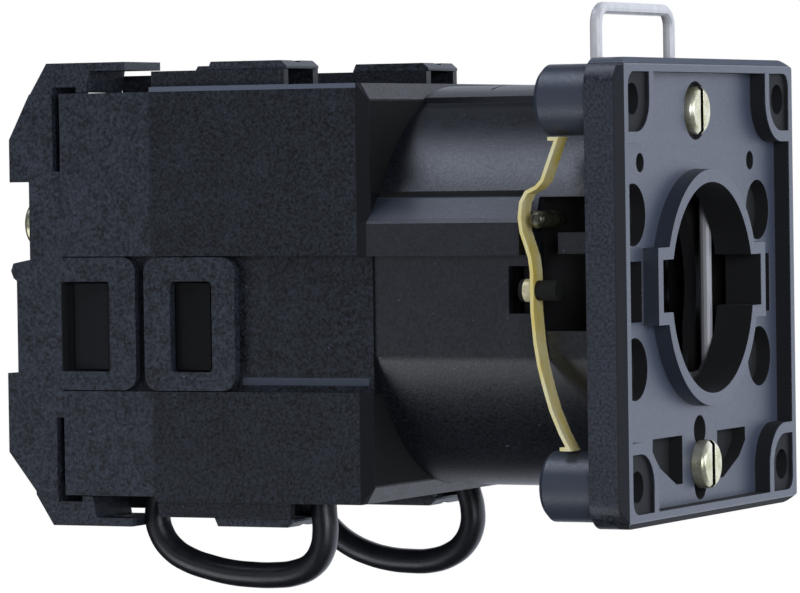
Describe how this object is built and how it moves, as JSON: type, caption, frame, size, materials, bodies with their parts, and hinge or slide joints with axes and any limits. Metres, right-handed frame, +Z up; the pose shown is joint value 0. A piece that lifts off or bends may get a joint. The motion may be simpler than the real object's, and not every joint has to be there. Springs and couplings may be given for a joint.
{
  "type": "cam switch",
  "caption": "Panel-mounting rotary cam switch with a square front plate, round detent housing, two contact rows, jumper wires and a sprung wire bail.",
  "frame": {"origin": "centre of the round operator opening, on the front plane of the plate", "axes": "+X along the shaft, out of the front plate towards the operator; +Z up, towards the wire bail; +Y to the right seen from the front"},
  "size_m": [0.0741, 0.048, 0.0632],
  "materials": {
    "plate_moulding": "satin moulded",
    "housing_moulding": "fine grain moulded",
    "block_moulding": "grained moulded",
    "cover_moulding": "grained moulded",
    "inner_moulding": "natural moulded",
    "rotor_moulding": "satin moulded",
    "leaf_steel": "yellow passivated",
    "screw_steel": "yellow zinc plated",
    "bail_steel": "drawn wire, zinc plated",
    "shaft_steel": "drawn",
    "spring_steel": "drawn spring wire",
    "contact_brass": "stamped",
    "clamp_brass": "machined",
    "copper_wire": "bare copper",
    "wire_insulation": "extruded"
  },
  "bodies": {
    "switch_body": {"front_plate": "plate_moulding", "plate_screws": "screw_steel", "mechanism_housing": "housing_moulding", "bearing_plate": "rotor_moulding", "leaf_spring_near": "leaf_steel", "leaf_spring_far": "leaf_steel", "leaf_pins": "bail_steel", "leaf_rivets": "leaf_steel", "detent_slides": "inner_moulding", "detent_rollers": "bail_steel", "detent_springs": "spring_steel", "main_block": "block_moulding", "deck_divider": "housing_moulding", "rear_deck": "block_moulding", "rear_cover": "cover_moulding", "terminal_covers": "cover_moulding", "tie_screws": "screw_steel", "spring_rear_top": "spring_steel", "spring_rear_low": "spring_steel", "spring_front_top": "spring_steel", "spring_front_low": "spring_steel", "fixed_contacts_rear": "contact_brass", "fixed_contacts_front": "contact_brass", "terminal_clamps": "clamp_brass", "terminal_screws": "screw_steel", "conductor_ends": "copper_wire", "wire_link_near": "wire_insulation", "wire_link_far": "wire_insulation"},
    "rotor": {"shaft": "shaft_steel", "shaft_coupling": "rotor_moulding", "shaft_spacers": "inner_moulding", "cam_rear": "inner_moulding", "cam_front": "inner_moulding", "detent_wheel": "inner_moulding"},
    "bail": {"latch_bail": "bail_steel"},
    "contact_rear_top": {"plunger_rear_top": "inner_moulding", "bridge_rear_top": "contact_brass"},
    "contact_rear_low": {"plunger_rear_low": "inner_moulding", "bridge_rear_low": "contact_brass"},
    "contact_front_top": {"plunger_front_top": "inner_moulding", "bridge_front_top": "contact_brass"},
    "contact_front_low": {"plunger_front_low": "inner_moulding", "bridge_front_low": "contact_brass"}
  },
  "joints": [
    {"name": "shaft_turn", "type": "hinge", "parent": "switch_body", "child": "rotor", "pos_m": [0, 0, 0], "axis": [1, 0, 0], "range_deg": [0, 90]},
    {"name": "bail_lift", "type": "slide", "parent": "switch_body", "child": "bail", "axis": [0, 0, 1], "range_m": [0, 0.004], "stiffness_N_per_m": 300, "springref_m": -0.001},
    {"name": "contact_rear_top_slide", "type": "slide", "parent": "switch_body", "child": "contact_rear_top", "axis": [0, 0, 1], "range_m": [0, 0.0017], "deforming": ["spring_rear_top"]},
    {"name": "contact_rear_low_slide", "type": "slide", "parent": "switch_body", "child": "contact_rear_low", "axis": [0, 0, 1], "range_m": [0, 0.0017], "deforming": ["spring_rear_low"]},
    {"name": "contact_front_top_slide", "type": "slide", "parent": "switch_body", "child": "contact_front_top", "axis": [0, 0, -1], "range_m": [0, 0.0017], "deforming": ["spring_front_top"]},
    {"name": "contact_front_low_slide", "type": "slide", "parent": "switch_body", "child": "contact_front_low", "axis": [0, 0, -1], "range_m": [0, 0.0017], "deforming": ["spring_front_low"]}
  ],
  "couplings": [
    {"joint": "contact_rear_top_slide", "follows": "shaft_turn", "m_per_rad": 0.0010186},
    {"joint": "contact_rear_low_slide", "follows": "shaft_turn", "m_per_rad": 0.0010186},
    {"joint": "contact_front_top_slide", "follows": "shaft_turn", "m_per_rad": 0.0010186},
    {"joint": "contact_front_low_slide", "follows": "shaft_turn", "m_per_rad": 0.0010186}
  ]
}
